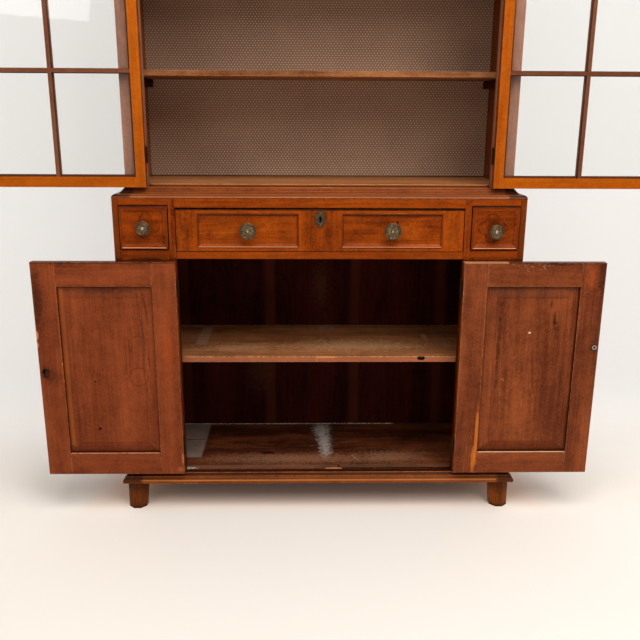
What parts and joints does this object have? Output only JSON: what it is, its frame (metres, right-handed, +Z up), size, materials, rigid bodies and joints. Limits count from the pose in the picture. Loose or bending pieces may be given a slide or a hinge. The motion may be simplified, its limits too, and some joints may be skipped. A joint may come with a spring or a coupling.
{
  "type": "jackson press",
  "caption": "Two-part wooden press: glazed doors over a case with drawers above a cupboard, small canted feet, all doors swung open.",
  "frame": {"origin": "on the floor, under the middle of the box round the whole piece with its doors swung back", "axes": "+X to the right as seen from the front, +Y to the back, +Z up"},
  "size_m": [2.027, 0.444, 2.101],
  "materials": {
    "case_wood": "waxed, red-brown",
    "moulding_wood": "waxed, red-brown",
    "door_wood": "waxed, dark red-brown",
    "glazed_wood": "waxed, orange-brown",
    "drawer_wood": "waxed, figured",
    "inside_wood": "bare, worn",
    "back_wood": "bare, darkened",
    "paper": "aged lining paper with a small dotted pattern",
    "window_glass": "clear",
    "hinge_metal": "dull",
    "knob_metal": "dull bronze",
    "lock_metal": "dull"
  },
  "bodies": {
    "case": {"base_side_left": "case_wood", "base_side_right": "case_wood", "base_bottom": "inside_wood", "sill_rail": "case_wood", "base_top": "case_wood", "waist_moulding": "moulding_wood", "base_moulding": "moulding_wood", "foot_front_left": "moulding_wood", "foot_front_right": "moulding_wood", "foot_back_left": "moulding_wood", "foot_back_right": "moulding_wood", "top_rail": "case_wood", "drawer_rail": "case_wood", "posts": "case_wood", "drawer_partitions": "inside_wood", "flanks": "case_wood", "drawer_runners": "inside_wood", "cupboard_shelf": "inside_wood", "shelf_cleats": "inside_wood", "base_back_boards": "back_wood", "upper_side_left": "case_wood", "upper_side_right": "case_wood", "upper_floor": "inside_wood", "upper_top": "inside_wood", "upper_back_boards": "back_wood", "lining_paper": "paper", "upper_stile_left": "case_wood", "upper_stile_right": "case_wood", "head_rail": "case_wood", "cornice": "moulding_wood", "upper_shelves": "inside_wood", "fixed_hinge_leaves": "hinge_metal", "hinge_pins": "hinge_metal"},
    "lower_left_door": {"lower_left_door_frame": "door_wood", "lower_left_door_panel": "door_wood", "lower_left_door_hinge_leaves": "hinge_metal"},
    "lower_right_door": {"lower_right_door_frame": "door_wood", "lower_right_door_panel": "door_wood", "lower_right_door_hinge_leaves": "hinge_metal", "door_catch_ring": "lock_metal"},
    "upper_left_door": {"upper_left_door_frame": "glazed_wood", "upper_left_glazing_bars": "glazed_wood", "upper_left_panes": "window_glass", "upper_left_door_hinge_leaves": "hinge_metal"},
    "upper_right_door": {"upper_right_door_frame": "glazed_wood", "upper_right_glazing_bars": "glazed_wood", "upper_right_panes": "window_glass", "upper_right_door_hinge_leaves": "hinge_metal"},
    "wide_drawer": {"wide_drawer_front": "drawer_wood", "wide_drawer_box": "inside_wood", "wide_drawer_knobs": "knob_metal", "keyhole_plate": "knob_metal", "drawer_lock": "lock_metal"},
    "left_drawer": {"left_drawer_front": "drawer_wood", "left_drawer_box": "inside_wood", "left_drawer_knob": "knob_metal"},
    "right_drawer": {"right_drawer_front": "drawer_wood", "right_drawer_box": "inside_wood", "right_drawer_knob": "knob_metal"},
    "bolt": {"lock_bolt": "lock_metal"}
  },
  "joints": [
    {"name": "lower_left_door_hinge", "type": "hinge", "parent": "case", "child": "lower_left_door", "pos_m": [-0.42725, -0.192, 0.4745], "axis": [0, 0, 1], "range_deg": [0, 180]},
    {"name": "lower_right_door_hinge", "type": "hinge", "parent": "case", "child": "lower_right_door", "pos_m": [0.42725, -0.192, 0.4745], "axis": [0, 0, -1], "range_deg": [0, 180]},
    {"name": "upper_left_door_hinge", "type": "hinge", "parent": "case", "child": "upper_left_door", "pos_m": [-0.50725, -0.152, 1.506], "axis": [0, 0, 1], "range_deg": [0, 180]},
    {"name": "upper_right_door_hinge", "type": "hinge", "parent": "case", "child": "upper_right_door", "pos_m": [0.50725, -0.152, 1.506], "axis": [0, 0, -1], "range_deg": [0, 180]},
    {"name": "wide_drawer_slide", "type": "slide", "parent": "case", "child": "wide_drawer", "axis": [0, -1, 0], "range_m": [0, 0.3]},
    {"name": "left_drawer_slide", "type": "slide", "parent": "case", "child": "left_drawer", "axis": [0, -1, 0], "range_m": [0, 0.28]},
    {"name": "right_drawer_slide", "type": "slide", "parent": "case", "child": "right_drawer", "axis": [0, -1, 0], "range_m": [0, 0.28]},
    {"name": "lock_bolt_slide", "type": "slide", "parent": "wide_drawer", "child": "bolt", "axis": [0, 0, 1], "range_m": [0, 0.009]}
  ]
}
